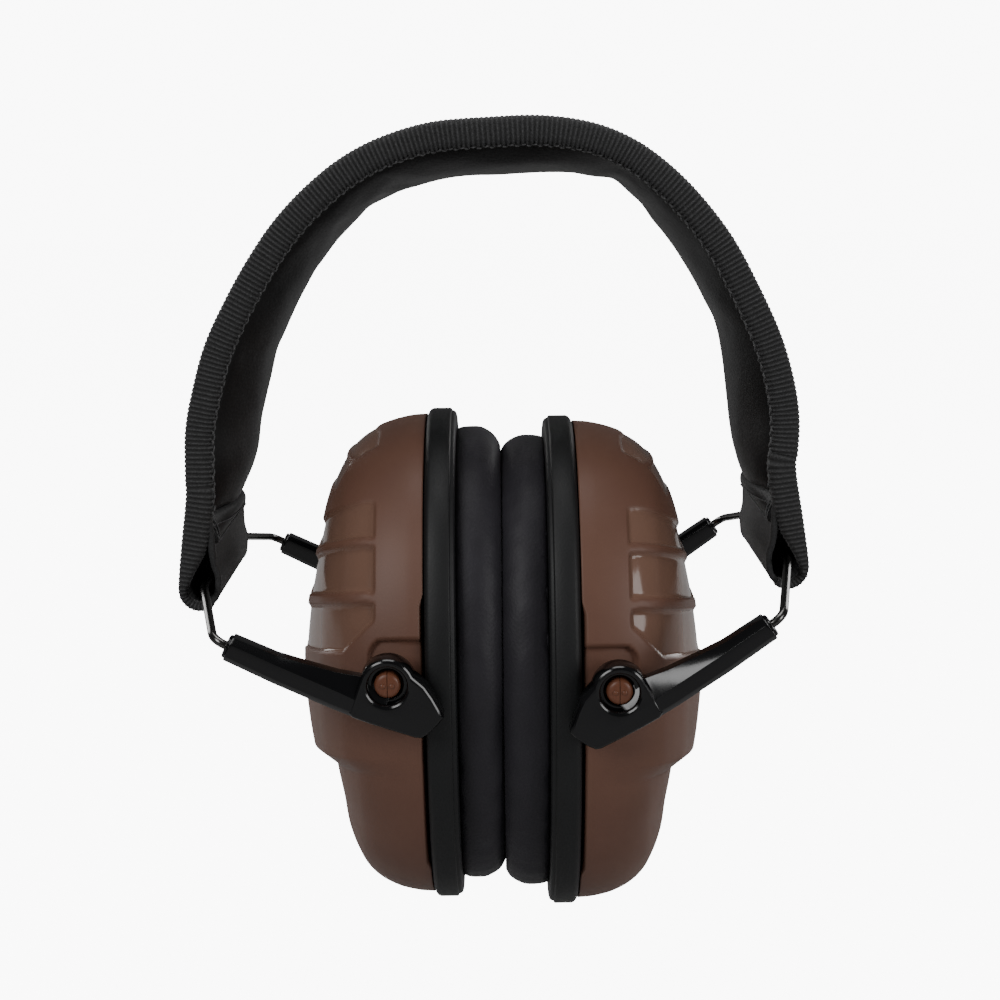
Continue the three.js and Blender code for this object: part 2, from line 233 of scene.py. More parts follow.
def woven(name, dark, light, scale, ribbed=False):
    """Cloth with thread noise and a weave in its bump; a ribbed one has painted shade, a darker colour in the
    grooves between its ribs.
    """
    mat, tree, shader = new_material(name, dark, 0.78, Sheen_Weight=0.08, Sheen_Roughness=0.4)
    thread = texture(tree, "ShaderNodeTexNoise", scale, Detail=3.0, Roughness=0.7)
    weave = texture(tree, "ShaderNodeTexVoronoi", scale * 0.8)
    base = ramp(tree, thread.outputs["Fac"], [(0.35, dark), (0.7, light)])
    # Painted shade: the colour is darkened in the grooves between the ribs.
    if ribbed:
        base = paint_groove_shade(tree, base, dark)
    tree.links.new(base, shader.inputs["Base Color"])
    bump(tree, shader, [weave.outputs["Distance"], thread.outputs["Fac"]], [0.00012, 0.00008], 0.8)
    return mat


def paint_groove_shade(tree, base, dark):
    """Painted shade in the grooves: the rib attribute is 1 on a rib's crest and 0 in the groove between two,
    where the colour is darkened.
    """
    rib = tree.nodes.new("ShaderNodeAttribute")
    rib.attribute_name = "rib"
    mix = tree.nodes.new("ShaderNodeMix")
    mix.data_type = "RGBA"
    tree.links.new(rib.outputs["Fac"], mix.inputs["Factor"])
    mix.inputs["A"].default_value = (*(0.35 * c for c in dark), 1)
    tree.links.new(base, mix.inputs["B"])
    return mix.outputs["Result"]


def brown_shell():
    """Satin moulded brown; the windows, marked by a vertex attribute, are polished and a little deeper."""
    mat, tree, shader = new_material("brown_shell", (0.13, 0.062, 0.041), 0.46, Specular_IOR_Level=0.28)
    mask = tree.nodes.new("ShaderNodeAttribute")
    mask.attribute_name = "window"
    cloud = texture(tree, "ShaderNodeTexNoise", 45, Detail=3.0)
    grain = texture(tree, "ShaderNodeTexNoise", 3200, Detail=2.0)
    satin = ramp(tree, cloud.outputs["Fac"], [(0.3, (0.117, 0.057, 0.039)), (0.75, (0.141, 0.071, 0.049))])
    mix = tree.nodes.new("ShaderNodeMix")
    mix.data_type = "RGBA"
    tree.links.new(mask.outputs["Fac"], mix.inputs["Factor"])
    tree.links.new(satin, mix.inputs["A"])
    mix.inputs["B"].default_value = (0.165, 0.092, 0.065, 1)
    tree.links.new(mix.outputs["Result"], shader.inputs["Base Color"])
    tree.links.new(gray_range(tree, mask.outputs["Fac"], 0.46, 0.12), shader.inputs["Roughness"])
    fade = gray_range(tree, mask.outputs["Fac"], 1.0, 0.0)
    height = tree.nodes.new("ShaderNodeMath")
    height.operation = "MULTIPLY"
    tree.links.new(fade, height.inputs[0])
    tree.links.new(grain.outputs["Fac"], height.inputs[1])
    bump(tree, shader, [height.outputs["Value"]], [0.00003], 0.5)
    return mat


def moulded(name, color, rough, grain_scale, grain_depth, **inputs):
    """Moulded plastic with a fine grain and slightly uneven colour and gloss."""
    mat, tree, shader = new_material(name, color, rough, **inputs)
    grain = texture(tree, "ShaderNodeTexNoise", grain_scale, Detail=3.0)
    cloud = texture(tree, "ShaderNodeTexNoise", 80, Detail=3.0)
    light = tuple(1.25 * c for c in color)
    cloudy = cloud.outputs["Fac"]
    tree.links.new(ramp(tree, cloudy, [(0.3, color), (0.8, light)]), shader.inputs["Base Color"])
    tree.links.new(gray_range(tree, cloudy, rough * 0.85, rough * 1.2), shader.inputs["Roughness"])
    bump(tree, shader, [grain.outputs["Fac"]], [grain_depth], 0.6)
    return mat


def steel(name, color, rough):
    """Drawn steel with fine scratches in its gloss."""
    mat, tree, shader = new_material(name, color, rough, metallic=1.0)
    scratch = texture(tree, "ShaderNodeTexNoise", 900, Detail=4.0)
    scratched = scratch.outputs["Fac"]
    tree.links.new(gray_range(tree, scratched, rough * 0.7, rough * 1.5), shader.inputs["Roughness"])
    bump(tree, shader, [scratched], [0.000015], 0.4)
    return mat


LEATHER = leatherette("leatherette", (0.006, 0.006, 0.0063), (0.011, 0.011, 0.0114), 0.46)
CUSHION = leatherette("cushion_leatherette", (0.018, 0.0165, 0.02), (0.026, 0.0245, 0.03), 0.5)
# Ribbed: painted shade, a darker colour in the grooves between its ribs.
RIBBON = woven("ribbed_ribbon", (0.012, 0.012, 0.0125), (0.055, 0.055, 0.057), 2600, ribbed=True)
THREAD = woven("stitch_thread", (0.03, 0.03, 0.031), (0.11, 0.11, 0.113), 5000)
LINER = woven("liner_cloth", (0.01, 0.01, 0.011), (0.03, 0.03, 0.032), 1400)
FOAM = woven("open_foam", (0.04, 0.04, 0.043), (0.12, 0.12, 0.125), 700)
GLOSS = moulded("black_gloss", (0.0025, 0.0025, 0.003), 0.14, 300, 0.00002, Specular_IOR_Level=0.4)
TEXTURED = moulded("black_textured", (0.0075, 0.0078, 0.0083), 0.5, 2200, 0.00006, Specular_IOR_Level=0.3)
BROWN = brown_shell()
PIN = moulded("brown_pin", (0.115, 0.042, 0.022), 0.35, 900, 0.00003, Specular_IOR_Level=0.35)
WIRE = steel("dark_wire", (0.09, 0.088, 0.086), 0.2)
SPRING = steel("spring_strip", (0.55, 0.55, 0.57), 0.3)


# ------------------------------ mesh tools

def link(name, data):
    """A new object in the scene."""
    obj = bpy.data.objects.new(name, data)
    bpy.context.scene.collection.objects.link(obj)
    return obj


def piece(name, verts, faces, mat, body, slot, replaced=(), matrix=None, attribute=None):
    """A mesh piece from points in mm, riding on a body. The attribute is a name and a number per point."""
    mesh = bpy.data.meshes.new(name)
    points = [Vector(v) * MM for v in verts]
    if matrix is not None:
        points = [matrix @ p for p in points]
    mesh.from_pydata(points, [], faces)
    mesh.validate()
    if attribute:
        layer = mesh.attributes.new(attribute[0], "FLOAT", "POINT")
        layer.data.foreach_set("value", attribute[1])
    return adopt(link(name, mesh), mat, body, replaced)


def adopt(obj, mat, body, replaced=()):
    """Give an object its material and body, and hide the CAD nodes that it stands for."""
    fix_normals(obj)
    obj.data.materials.clear()
    obj.data.materials.append(mat)
    obj.data.polygons.foreach_set("use_smooth", [True] * len(obj.data.polygons))
    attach(obj, body)
    if replaced:
        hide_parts(*replaced)
    return obj


def fix_normals(obj):
    """Join doubled points, then turn every face outward."""
    bm = bmesh.new()
    bm.from_mesh(obj.data)
    bmesh.ops.remove_doubles(bm, verts=bm.verts, dist=1e-7)
    bmesh.ops.recalc_face_normals(bm, faces=bm.faces)
    bm.to_mesh(obj.data)
    bm.free()


def apply_modifiers(obj):
    """Replace the mesh with its modified form."""
    bpy.context.view_layer.update()
    depsgraph = bpy.context.evaluated_depsgraph_get()
    mesh = bpy.data.meshes.new_from_object(obj.evaluated_get(depsgraph))
    obj.modifiers.clear()
    obj.data = mesh


def sharpen(obj, angle):
    """Flat where faces meet at more than this angle, smooth elsewhere."""
    obj.data.set_sharp_from_angle(angle=math.radians(angle))


def loft(rings, closed=False):
    """Points and faces that join equal rings of points; closed joins the last ring to the first, uncapped."""
    count = len(rings[0])
    verts = [p for ring in rings for p in ring]
    faces = []
    total = len(rings)
    for i in range(total if closed else total - 1):
        a, b = i * count, ((i + 1) % total) * count
        for j in range(count):
            k = (j + 1) % count
            faces.append((a + j, a + k, b + k, b + j))
    if not closed:
        faces.append(tuple(range(count)))
        faces.append(tuple(range((total - 1) * count, total * count)))
    return verts, faces


def wrap_faces(segments, count):
    """Faces between open rows of count points, the last row joined to the first."""
    faces = []
    for i in range(segments):
        a, b = i * count, (i + 1) % segments * count
        faces += [(a + j, a + j + 1, b + j + 1, b + j) for j in range(count - 1)]
    return faces


def turned(profile, segments, narrow=NARROW):
    """A profile of (radius, depth) turned about the cup's axis. Depth runs along +X."""
    verts = []
    for i in range(segments):
        a = 2 * math.pi * i / segments
        verts += [(h, narrow * r * math.cos(a), r * math.sin(a)) for r, h in profile]
    return verts, wrap_faces(segments, len(profile))


def smooth_step(x, width):
    """0 to 1 as x crosses zero, within the width."""
    t = min(max(x / width + 0.5, 0.0), 1.0)
    return t * t * (3 - 2 * t)


def spline(points, count):
    """Equal steps along a Catmull-Rom curve through points."""
    pts = [Vector(p) for p in points]
    pts = [2 * pts[0] - pts[1]] + pts + [2 * pts[-1] - pts[-2]]
    span = 24
    dense = []
    for i in range(1, len(pts) - 2):
        a, b, c, d = pts[i - 1], pts[i], pts[i + 1], pts[i + 2]
        for k in range(span):
            t = k / span
            dense.append(0.5 * (2 * b + (c - a) * t + (2 * a - 5 * b + 4 * c - d) * t * t
                                + (3 * b - a - 3 * c + d) * t ** 3))
    dense.append(pts[-2])
    return resample(dense, count)


def resample(points, count):
    """Points at equal steps along a line of points."""
    lengths = [0.0]
    for a, b in zip(points, points[1:]):
        lengths.append(lengths[-1] + (b - a).length)
    result, j = [], 0
    for i in range(count):
        s = lengths[-1] * i / (count - 1)
        while j < len(points) - 2 and lengths[j + 1] < s:
            j += 1
        span = lengths[j + 1] - lengths[j]
        result.append(points[j].lerp(points[j + 1], (s - lengths[j]) / span if span else 0))
    return result


def path_frames(points):
    """(point, tangent, inward normal) at each point of a path in the XZ plane."""
    frames = []
    for i, p in enumerate(points):
        tangent = (points[min(i + 1, len(points) - 1)] - points[max(i - 1, 0)]).normalized()
        frames.append((p, tangent, Vector((tangent.z, 0, -tangent.x))))
    return frames


def tube(path, radius, sides):
    """A round tube along a path, with its frame carried from point to point."""
    rings = []
    normal = Vector((0.3, 0.5, 0.8))
    for i, p in enumerate(path):
        tangent = (path[min(i + 1, len(path) - 1)] - path[max(i - 1, 0)]).normalized()
        normal = (normal - tangent * normal.dot(tangent)).normalized()
        other = tangent.cross(normal)
        rings.append([p + radius * (math.cos(a) * normal + math.sin(a) * other)
                      for a in (2 * math.pi * k / sides for k in range(sides))])
    return loft(rings)


def merge(parts):
    """One list of points and faces from several."""
    verts, faces = [], []
    for v, f in parts:
        base = len(verts)
        verts += v
        faces += [tuple(base + i for i in face) for face in f]
    return verts, faces


def stitch(center, along, up, length, radius):
    """One raised stitch: a thread that rises from the cloth and dips back at both ends."""
    path = []
    for k in range(6):
        t = k / 5 - 0.5
        path.append(center + along * (t * length) + up * (radius * (0.9 - 4.2 * t * t)))
    return tube(path, radius, 6)


def inflate(obj, voxel, cap):
    """Fill out a closed form by cloth simulation, by at most cap millimetres."""
    remesh = obj.modifiers.new("remesh", "REMESH")
    remesh.mode = "VOXEL"
    remesh.voxel_size = voxel * MM
    apply_modifiers(obj)
    start = np.array([v.co[:] for v in obj.data.vertices])
    cloth = obj.modifiers.new("cloth", "CLOTH")
    settings = cloth.settings
    settings.quality = 4
    settings.use_pressure = True
    settings.uniform_pressure_force = CLOTH_PRESSURE
    settings.effector_weights.gravity = 0
    settings.tension_stiffness = 12
    settings.compression_stiffness = 8
    settings.bending_stiffness = 0.4
    cloth.point_cache.frame_start = 1
    cloth.point_cache.frame_end = CLOTH_FRAMES
    for number in range(1, CLOTH_FRAMES + 1):
        bpy.context.scene.frame_set(number)
    apply_modifiers(obj)
    bpy.context.scene.frame_set(1)
    moved = np.array([v.co[:] for v in obj.data.vertices]) - start
    size = np.linalg.norm(moved, axis=1, keepdims=True)
    moved *= np.minimum(1, cap * MM / np.maximum(size, 1e-9))
    obj.data.vertices.foreach_set("co", (start + moved).ravel())
    soften = obj.modifiers.new("soften", "SMOOTH")
    soften.iterations = 3
    subsurf = obj.modifiers.new("subdivide", "SUBSURF")
    subsurf.levels = 1
    subsurf.render_levels = 1
    apply_modifiers(obj)


# ------------------------------ headband

def side_facts(side):
    """From the frame: matrices of the pivot and the arm, in metres, and the loop's box in millimetres."""
    sign = SIDES[side]
    pivot = Vector(JOINTS[f"{side}_cup_tilt"]["pos_m"])
    axis = Vector(JOINTS[f"{side}_arm_extend"]["axis"])
    slope = math.atan2(-axis.z, abs(axis.x))
    low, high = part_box(f"{side}_end_loop")
    at_pivot = Matrix.Translation(pivot)
    if sign < 0:
        at_pivot = at_pivot @ Matrix.Rotation(math.pi, 4, "Z")
    along_arm = at_pivot @ Matrix.Rotation(-slope, 4, "Y")
    return {"sign": sign, "cup": at_pivot, "arm": along_arm, "loop": (Vector(low) / MM, Vector(high) / MM)}


FACTS = {side: side_facts(side) for side in SIDES}


def loop_place(side):
    """The end loop's sign, lowest and highest corner and middle in X, in millimetres."""
    low, high = FACTS[side]["loop"]
    return FACTS[side]["sign"], low, high, (low.x + high.x) / 2


def arch_frames(count):
    """(point, tangent, inward normal) along the arch's outer line, left leg first, in millimetres."""
    ends = {s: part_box(f"{s}_end_loop")[1][2] / MM + CROWN_INNER + PAD_OVER_LOOP for s in SIDES}
    line = [(-LEG_X, 0, ends["left"])] + [(-x, 0, z) for x, z in LEFT_ARCH] + [(0, 0, ARCH_TOP)]
    line += [(x, 0, z) for x, z in reversed(RIGHT_ARCH)] + [(LEG_X, 0, ends["right"])]
    return path_frames([p - Vector((0, 0, CROWN_INNER)) for p in spline(line, count)])


def pad_thickness(w):
    """The pad is thickest in the middle of its width; w is counted from there."""
    return EDGE_THICK + (MID_THICK - EDGE_THICK) * max(0.0, 1 - (w / PAD_HALF) ** 2) ** 0.85


def end_taper(s):
    """How full the pad is at s, from 0 at the left end to 1. The left leg is fuller than the right."""
    from_end = min(s, 1 - s)
    at_end = 0.84
    rise = smooth_step(from_end - 0.025, 0.06)
    if s < 0.5:
        return at_end + 0.3 * rise - 0.12 * smooth_step(from_end - 0.2, 0.14)
    thinned = 0.22 * smooth_step(from_end - 0.13, 0.1) - 0.18 * smooth_step(from_end - 0.41, 0.14)
    return at_end + 0.22 * rise - thinned


def headband_pad():
    """The padded band under its leatherette: flat outside, crowned inside, filled out and creased."""
    frames = arch_frames(150)
    rings = []
    inset = 0.5
    outer_half, inner_half = 6, 12
    for i, (p, _, inward) in enumerate(frames):
        taper = end_taper(i / (len(frames) - 1))
        ring = []
        for k in range(2 * outer_half + 1):
            w = (PAD_HALF - inset) * (k / outer_half - 1)
            ring.append(p + Vector((0, w, 0)) + inward * inset)
        for k in range(2 * inner_half + 1):
            w = (PAD_HALF - inset) * (1 - k / inner_half)
            ring.append(p + Vector((0, w, 0)) + inward * (taper * pad_thickness(w) - inset))
        rings.append(ring)
    pad = piece("headband_pad", *loft(rings), LEATHER, "headband", "leatherette",
                ("headband_cover", "headband_foam"))
    inflate(pad, 2.4, 0.9)
    crease(pad, frames)
    adopt(pad, LEATHER, "headband")


def crease(pad, frames):
    """Shallow folds across the pad where the arch bends most, and a faint unevenness of the filling."""
    lines = [frames[int(c * (len(frames) - 1))] for c in CREASES]
    reach = 9
    for v in pad.data.vertices:
        p = v.co / MM
        shift = Vector((0, 0, 0))
        for point, tangent, inward in lines:
            offset = p - point
            depth = offset.dot(inward)
            if abs(offset.dot(tangent)) < reach and 2.5 < depth < 14:
                along = offset.dot(tangent) + 0.05 * offset.y
                inner = smooth_step(depth - 6.5, 6)
                shift -= inward * (CREASE_DEPTH * inner * math.exp(-(along / CREASE_WIDTH) ** 2))
        bumpy = noise.noise(p * 0.09) * 0.22 + noise.noise(p * 0.25) * 0.07
        v.co = (p + shift + v.normal * bumpy) * MM


def ribbon_frames(count):
    """The ribbon's line: the arch, run on down each loop strap's outer side and round its bottom."""
    frames = arch_frames(200)
    ends = []
    for side in SIDES:
        sign, low, high, mid = loop_place(side)
        radius = (high.x - low.x) / 2 + 0.1
        arc = [Vector((mid + sign * radius * math.cos(a), 0, low.z + radius * (1 - math.sin(a))))
               for a in (math.radians(d) for d in (125, 110, 90, 70, 50, 30, 12))]
        ends.append(arc + [Vector((mid + sign * (radius - 0.15), 0, low.z + 7.0))])
    line = ends[0] + [f[0] for f in frames[3:-3:4]] + ends[1][::-1]
    return path_frames(spline(line, count))


def ribbon(name, side):
    """Ribbed grosgrain binding on one edge of the band: one rib per pitch, rounded over the outer edge."""
    frames = ribbon_frames(1900)
    step = (frames[1][0] - frames[0][0]).length
    inner, outer = PAD_HALF - 0.1, PAD_HALF + 1.0
    section = [(inner - 2.2, -0.35), (inner - 0.4, -0.4), (inner + 0.5, -0.25), (outer, 0.3),
               (outer + 0.12, 1.0), (outer + 0.14, 2.4), (outer + 0.1, 3.8), (outer - 0.2, 4.8),
               (inner - 0.2, 5.35), (inner - 1.2, 5.5),
               (inner - 1.2, 5.0), (inner, 4.7), (inner, 0.4), (inner - 2.2, 0.1)]
    # How strongly each outside point of the section is ribbed, and which of them lie loosely.
    ribs = [0.25, 0.4, 0.6, 0.8, 1.0, 1.0, 1.0, 1.0, 0.7, 0.3]
    loose = (7, 8, 9)
    middle_w, middle_h = inner - 0.2, 2.4
    rings, groove_shade = [], []
    for i, (p, _, inward) in enumerate(frames):
        wobble = 0.14 * noise.noise(Vector((i * 0.013, side * 3, 0)))
        skew = 0.25 * noise.noise(Vector((i * 0.004, side * 7, 2)))
        from_end = min(i, len(frames) - 1 - i) * step
        squeeze = 0.3 + 0.7 * smooth_step(from_end - 15, 15)
        ring = []
        for k, (w, h) in enumerate(section):
            wave = math.cos(2 * math.pi * (i * step / RIB_PITCH + skew * (h - 2.4) / 2.4))
            grow = 0.2 * wave * ribs[k] if k < len(ribs) else 0.0
            # Painted groove shade: 1 on a rib's crest, 0 in the groove, where the cloth's colour is darkened.
            groove_shade.append(0.5 + 0.5 * wave)
            dw, dh = w - middle_w, h - middle_h
            size = math.hypot(dw, dh)
            across = side * (w + grow * dw / size)
            deep = (h + grow * dh / size) * squeeze + (wobble if k in loose else 0)
            ring.append(p + Vector((0, across, 0)) + inward * deep)
        rings.append(ring)
    piece(name + "_woven", *loft(rings), RIBBON, "headband", "ribbon", (name,), attribute=("rib", groove_shade))


def edge_stitching(name, side):
    """Lock stitches in two staggered rows along the ribbon's inner edge."""
    frames = arch_frames(900)
    length = sum((b[0] - a[0]).length for a, b in zip(frames, frames[1:]))
    parts = []
    for n in range(int(length / STITCH_PITCH) - 2):
        i = int((n + 1) * STITCH_PITCH / length * (len(frames) - 1))
        p, tangent, inward = frames[i]
        across = Vector((0, side, 0))
        slant = (tangent * 0.75 + across * 0.45 * (-1 if n % 2 else 1)).normalized()
        center = p + across * (PAD_HALF - 0.1 - 0.5 * (n % 2)) + inward * (5.25 + 0.22 * (n % 2))
        parts.append(stitch(center, slant, (inward + across * 0.6).normalized(), 1.15, 0.2))
    piece(name, *merge(parts), THREAD, "headband", "ribbon")


def strap_path(side):
    """Middle line of the loop strap: down the outer leg, round the bottom and up the inner leg."""
    sign, low, high, mid = loop_place(side)
    half = (high.x - low.x) / 2 - 0.75
    top = high.z + 2.2
    points = [Vector((mid + sign * (half - 2.1), 0, top)), Vector((mid + sign * (half - 1.5), 0, top - 4))]
    bulge = [(half - 0.3, 9.5), (half + 0.2, 6.2)]
    points += [Vector((mid + sign * x, 0, low.z + z)) for x, z in bulge]
    for k in range(9):
        a = math.pi * k / 8
        points.append(Vector((mid + sign * half * math.cos(a), 0, low.z + 0.75 + half * (1 - math.sin(a)))))
    inner_leg = [(half + 0.15, low.z + 7), (half - 0.5, low.z + 10),
                 (half - 0.9, top - 3.5), (half - 1.2, top - 0.8)]
    return points + [Vector((mid - sign * x, 0, z)) for x, z in inner_leg]


def loop_strap(side):
    """The end loop: a strap with bound edges, ribbed on its outer leg and narrowest round its bottom."""
    sign, low, high, _ = loop_place(side)
    path = spline(strap_path(side), STRAP_STEPS)
    step = (path[1] - path[0]).length
    half = (high.y - low.y) / 2
    middle = STRAP_POINTS // 2
    rings, groove_shade = [], []
    for i, (p, _, inward) in enumerate(path_frames(path)):
        outward = -sign * inward
        wave = math.cos(2 * math.pi * i * step / RIB_PITCH)
        ribbed = smooth_step(STRAP_RIBBED - i, 40)
        rib = 0.12 * wave * ribbed
        # Painted groove shade: darkened in the grooves between the ribs, and darkened evenly where the strap
        # isn't ribbed.
        groove_shade += [0.35 + ribbed * (0.15 + 0.5 * wave)] * (2 * STRAP_POINTS)
        narrow = 1 - 0.05 * smooth_step(i - 110, 60) * smooth_step(230 - i, 60)
        ring = []
        for k in range(STRAP_POINTS):
            y = half * narrow * (k / middle - 1)
            edge = smooth_step(abs(y) - (half - STRAP_EDGE), 0.5)
            ring.append(p + Vector((0, y, 0)) + outward * (0.55 + 0.3 * edge + rib * (1 - 0.6 * edge)))
        for k in range(STRAP_POINTS):
            y = half * narrow * (1 - k / middle)
            edge = smooth_step(abs(y) - (half - STRAP_EDGE), 0.5)
            ring.append(p + Vector((0, y, 0)) - outward * (0.5 + 0.28 * edge))
        rings.append(ring)
    strap = piece(f"{side}_loop_strap", *loft(rings), RIBBON, "headband", "ribbon",
                  (f"{side}_end_loop",), attribute=("rib", groove_shade))
    strap.modifiers.new("round", "SUBSURF").levels = 1


def loop_tab(side):
    """The stitched tab above the loop's slot, where the strap's two legs are sewn to the pad's end."""
    sign, low, high, mid = loop_place(side)
    center = mid - 0.6 * sign
    half = (high.y - low.y) / 2 - 0.8
    bottom, top = high.z - 2.9, high.z + 2.0
    rings = []
    for i in range(25):
        y = half * (i / 12 - 1)
        pull = 0.25 * noise.noise(Vector((y * 0.5, high.z, 0)))
        ring = []
        for k in range(20):
            a = 2 * math.pi * k / 20
            c, s = math.cos(a), math.sin(a)
            x = 1.9 * math.copysign(abs(c) ** 0.5, c)
            z = (top - bottom) / 2 * math.copysign(abs(s) ** 0.6, s)
            end = 0.82 + 0.18 * smooth_step(half - abs(y) - 0.8, 2.0)
            ring.append(Vector((center + x * end, y, (top + bottom) / 2 + z * end + pull)))
        rings.append(ring)
    piece(f"{side}_loop_tab", *loft(rings), LEATHER, "headband", "leatherette")


def flap_line(side, y):
    """The flap's line at y: from under the pad's end down to the strap's inner leg, in x and z."""
    sign, low, high, mid = loop_place(side)
    pad_end = high.z + PAD_OVER_LOOP
    surface = LEG_X - end_taper(0) * pad_thickness(y)
    strap = abs(mid) - (high.x - low.x) / 2
    droop = 0.35 * noise.noise(Vector((y * 0.11, sign * 4, 0)))
    knots = [(surface + 2.0, pad_end + 0.6), (surface + 0.9, pad_end - 0.5),
             (0.6 * surface + 0.4 * strap, pad_end - 2.4),
             (strap + 0.1, pad_end - 4.6), (strap + 0.35, pad_end - 5.7 + droop)]
    return [Vector((sign * p.x, y, p.z)) for p in spline([(x, 0, z) for x, z in knots], 17)]


def end_flap(side):
    """The leatherette flap sewn over the pad's end and the strap's inner leg, and its rows of stitches."""
    sign = FACTS[side]["sign"]
    half = PAD_HALF - 0.9
    rings = []
    for i in range(61):
        y = half * (i / 30 - 1)
        front = flap_line(side, y)
        back = [p + Vector((sign * FLAP_THICK, 0, 0)) for p in front[::-1]]
        rings.append(front + back)
    flap = piece(f"{side}_end_flap", *loft(rings), LEATHER, "headband", "leatherette", (f"{side}_end_tape",))
    flap.modifiers.new("round", "SUBSURF").levels = 1
    parts = []
    raised = Vector((sign * 0.05, 0, 0))
    inward = Vector((-sign, 0, 0))
    for n in range(31):
        y = half * 0.95 * (n / 15 - 1)
        line = flap_line(side, y)
        ahead = flap_line(side, y + 0.5)
        for row in (7, 15):
            along = (ahead[row] - line[row]).normalized()
            parts.append(stitch(line[row] - raised, along, inward, 1.0, 0.13))
    for n in range(5):
        for y, lean in ((-half + 0.5, 0.2), (-half + 1.7, -0.15)):
            line = flap_line(side, y)
            row = 5 + 2 * n
            along = (line[row + 1] - line[row] + Vector((0, lean, 0))).normalized()
            parts.append(stitch(line[row] - raised, along, inward, 1.1, 0.14))
    piece(f"{side}_flap_stitches", *merge(parts), THREAD, "headband", "ribbon")


# ------------------------------ bail and arms

def wire_bail(side):
    """One bent wire: into the front arm, through the loop and into the rear arm."""
    half = [(8.0, -ARM_Y, WIRE_V), (34.4, -ARM_Y, WIRE_V), (41.4, -23.6, WIRE_V + 2.2)]
    corners = [Vector(p) for p in half] + [Vector((x, -y, z)) for x, y, z in reversed(half)]
    points = [corners[0]]
    for before, corner, after in zip(corners, corners[1:], corners[2:]):
        a = corner + (before - corner).normalized() * WIRE_BEND
        b = corner + (after - corner).normalized() * WIRE_BEND
        points += [a.lerp(corner, t).lerp(corner.lerp(b, t), t) for t in (k / 10 for k in range(11))]
    points.append(corners[-1])
    wire = tube(resample(points, 260), WIRE_R, 18)
    piece(f"{side}_bent_wire", *wire, WIRE, f"{side}_bail", "wire_steel",
          (f"{side}_wire_bail",), FACTS[side]["arm"])


def arm_top(u):
    """Upper edge of the bar at u, which runs from the hub along the arm."""
    return np.interp(u, [-2, 5, 10, 16, 22, ARM_END], [-0.6, -0.9, -2.2, -3.2, -4.1, -4.4])


def arm_bottom(u):
    """Lower edge of the bar at u."""
    return np.interp(u, [-2, 8, 20, ARM_END], [-8.5, -9.1, -9.4, -9.3])


def arm_ridge(u):
    """Height of the long edge between the front face and the tapering upper facet."""
    return np.interp(u, [-2, 8, 20, ARM_END], [-5.2, -5.1, -5.4, -5.5])


def bar_section(u, out):
    """Faceted section of the bar at u: the outer side is chamfered, out is the outward sign in Y."""
    top, bottom, ridge = arm_top(u), arm_bottom(u), arm_ridge(u)
    shrink = 0.5 if u > 31 else 0.0
    back, front = -ARM_HALF + 0.15, ARM_HALF - 0.15
    drop = np.interp(u, [-2, 10, ARM_END], [2.4, 1.9, 1.3])
    points = [(back + shrink, bottom + 1.0), (back + 0.9, bottom + shrink), (front - 1.1, bottom + shrink),
              (front - shrink, bottom + 1.2), (front - shrink, ridge), (front - drop, top - shrink),
              (back + 0.9, top - shrink), (back + shrink, top - 1.0)]
    return [Vector((u, out * (ARM_Y + y), v)) for y, v in points]


def curve_solid(name, outlines, half, bevel):
    """A flat plate with bevelled edges from closed outlines (the first is the outside), in local u and v."""
    data = bpy.data.curves.new(name, "CURVE")
    data.dimensions = "2D"
    data.fill_mode = "BOTH"
    data.extrude = (half - bevel) * MM
    data.bevel_depth = bevel * MM
    data.bevel_resolution = 3
    data.offset = -bevel * MM
    for outline in outlines:
        line = data.splines.new("POLY")
        line.points.add(len(outline) - 1)
        line.use_cyclic_u = True
        for point, (u, v) in zip(line.points, outline):
            point.co = (u * MM, v * MM, 0, 1)
    obj = link(name, data)
    bpy.context.view_layer.update()
    mesh = bpy.data.meshes.new_from_object(obj.evaluated_get(bpy.context.evaluated_depsgraph_get()))
    bpy.data.objects.remove(obj)
    return [v.co / MM for v in mesh.vertices], [tuple(p.vertices) for p in mesh.polygons]


def circle(radius, count, start=0.0, end=360.0, closed=True):
    """Points on a circle, or on an arc with both its ends if it isn't closed; angles in degrees."""
    steps = count if closed else count - 1
    angles = [math.radians(start + (end - start) * i / steps) for i in range(count)]
    return [(radius * math.cos(a), radius * math.sin(a)) for a in angles]


def knuckle_outline():
    """Teardrop around the hub that runs to the pointed tip, with slightly bowed sides."""
    hub = circle(5.5, 22, start=-12, end=132, closed=False)
    upper = [(-6.6, 3.3), (-9.0, 1.9), (-11.1, 0.4), (-12.7, -0.9)]
    lower = [(-12.4, -2.8), (-11.6, -5.0), (-10.6, -6.7), (-9.6, -7.2)]
    under = [(-4, -8.0), (0, -8.5), (3.4, -8.8)]
    side = [(4.6, -8.3), (5.0, -5.0), (5.3, -2.4)]
    return hub + upper + lower + under + side


